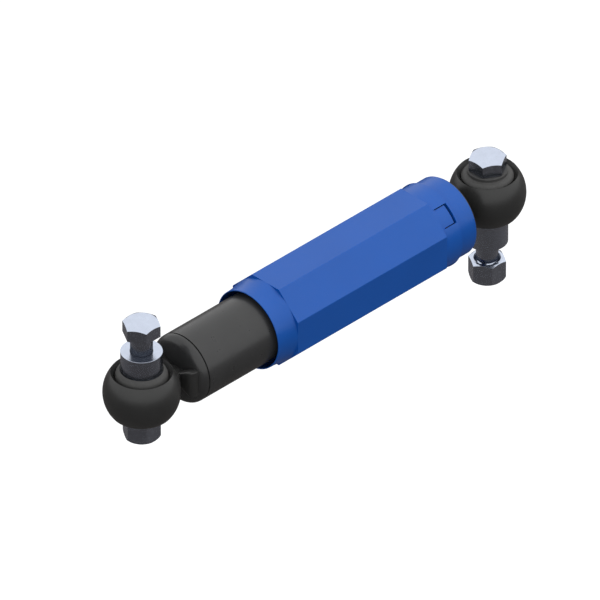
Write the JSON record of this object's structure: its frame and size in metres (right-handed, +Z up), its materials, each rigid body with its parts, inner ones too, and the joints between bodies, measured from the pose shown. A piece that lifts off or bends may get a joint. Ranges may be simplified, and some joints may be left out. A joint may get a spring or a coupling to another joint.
{
  "type": "shock absorber",
  "caption": "Twin-tube hydraulic trailer damper with an octagonal dust tube, rubber bushed eyes at both ends, spacers, bolts and locking nuts.",
  "frame": {"origin": "centre of the lower eye, on the axis of its bolt", "axes": "+X along the damper from the lower eye to the upper eye, +Z up along the bolts towards the bolt heads"},
  "size_m": [0.3482, 0.0566, 0.116],
  "materials": {
    "black_paint": "satin",
    "blue_plastic": "satin",
    "zinc_steel": "zinc plated",
    "nylon": "matte",
    "rubber": "matte",
    "bare_steel": "drawn",
    "sintered_iron": "sintered",
    "bronze": "satin",
    "ptfe": "matte",
    "chromed_rod": "polished"
  },
  "bodies": {
    "lower_mount": {"lower_sleeve": "bare_steel", "lower_spacer": "zinc_steel"},
    "cylinder": {"lower_eye": "black_paint", "lower_bush": "rubber", "base_cap": "black_paint", "reservoir_tube": "black_paint", "pressure_tube": "bare_steel", "foot_valve_body": "sintered_iron", "foot_valve_pin": "bare_steel", "foot_valve_shims": "bare_steel", "foot_valve_washer": "bare_steel", "foot_valve_spring": "bare_steel", "rod_guide": "sintered_iron", "guide_bush": "bronze", "guide_o_ring": "rubber", "rod_seal": "rubber", "seal_spring": "bare_steel", "gland_cap": "bare_steel"},
    "foot_valve_plate": {"foot_valve_plate": "bare_steel"},
    "piston_band": {"piston_band": "ptfe"},
    "rod": {"piston_rod": "chromed_rod", "piston": "sintered_iron", "piston_shims": "bare_steel", "piston_washer": "bare_steel", "piston_nut": "bare_steel", "piston_check_spring": "bare_steel", "piston_retainer": "bare_steel", "rebound_stop": "bare_steel", "rebound_buffer": "rubber", "top_cap": "black_paint", "dust_tube": "blue_plastic", "upper_eye": "black_paint", "upper_bush": "rubber"},
    "piston_check_plate": {"piston_check_plate": "bare_steel"},
    "upper_mount": {"upper_sleeve": "bare_steel", "upper_spacer": "zinc_steel"},
    "lower_bolt": {"lower_bolt": "zinc_steel"},
    "lower_nut_ring": {"lower_nut_insert": "nylon"},
    "lower_nut": {"lower_nut": "zinc_steel"},
    "upper_bolt": {"upper_bolt": "zinc_steel"},
    "upper_nut_ring": {"upper_nut_insert": "nylon"},
    "upper_nut": {"upper_nut": "zinc_steel"}
  },
  "joints": [
    {"name": "lower_bush_swivel", "type": "hinge", "parent": "lower_mount", "child": "cylinder", "pos_m": [0, 0, 0], "axis": [0, 0, 1], "range_deg": [-20, 20], "stiffness_Nm_per_rad": 30},
    {"name": "rod_slide", "type": "slide", "parent": "cylinder", "child": "piston_band", "axis": [1, 0, 0], "range_m": [-0.05, 0.04]},
    {"name": "rod_turn", "type": "hinge", "parent": "piston_band", "child": "rod", "pos_m": [0.13, 0, 0], "axis": [1, 0, 0], "continuous": true},
    {"name": "upper_bush_swivel", "type": "hinge", "parent": "rod", "child": "upper_mount", "pos_m": [0.3, 0, 0], "axis": [0, 0, 1], "range_deg": [-20, 20], "stiffness_Nm_per_rad": 30},
    {"name": "foot_valve_lift", "type": "slide", "parent": "cylinder", "child": "foot_valve_plate", "axis": [1, 0, 0], "range_m": [0, 0.0008], "stiffness_N_per_m": 500, "springref_m": -0.001, "deforming": ["foot_valve_spring"]},
    {"name": "piston_check_lift", "type": "slide", "parent": "rod", "child": "piston_check_plate", "axis": [1, 0, 0], "range_m": [0, 0.0008], "stiffness_N_per_m": 500, "springref_m": -0.001, "deforming": ["piston_check_spring"]},
    {"name": "lower_bolt_slide", "type": "slide", "parent": "lower_mount", "child": "lower_bolt", "axis": [0, 0, 1], "range_m": [-0.0125, 0]},
    {"name": "upper_bolt_slide", "type": "slide", "parent": "upper_mount", "child": "upper_bolt", "axis": [0, 0, 1], "range_m": [0, 0.013]},
    {"name": "lower_nut_travel", "type": "slide", "parent": "lower_bolt", "child": "lower_nut_ring", "axis": [0, 0, 1], "range_m": [-0.0146, 0]},
    {"name": "lower_nut_turn", "type": "hinge", "parent": "lower_nut_ring", "child": "lower_nut", "pos_m": [0, 0, 0], "axis": [0, 0, 1], "range_deg": [-2610, 0]},
    {"name": "upper_nut_travel", "type": "slide", "parent": "upper_bolt", "child": "upper_nut_ring", "axis": [0, 0, 1], "range_m": [-0.0131, 0]},
    {"name": "upper_nut_turn", "type": "hinge", "parent": "upper_nut_ring", "child": "upper_nut", "pos_m": [0.3, 0, 0], "axis": [0, 0, 1], "range_deg": [-2340, 0]}
  ],
  "couplings": [
    {"joint": "lower_nut_travel", "follows": "lower_nut_turn", "m_per_rad": 0.00031831},
    {"joint": "upper_nut_travel", "follows": "upper_nut_turn", "m_per_rad": 0.00031831}
  ]
}
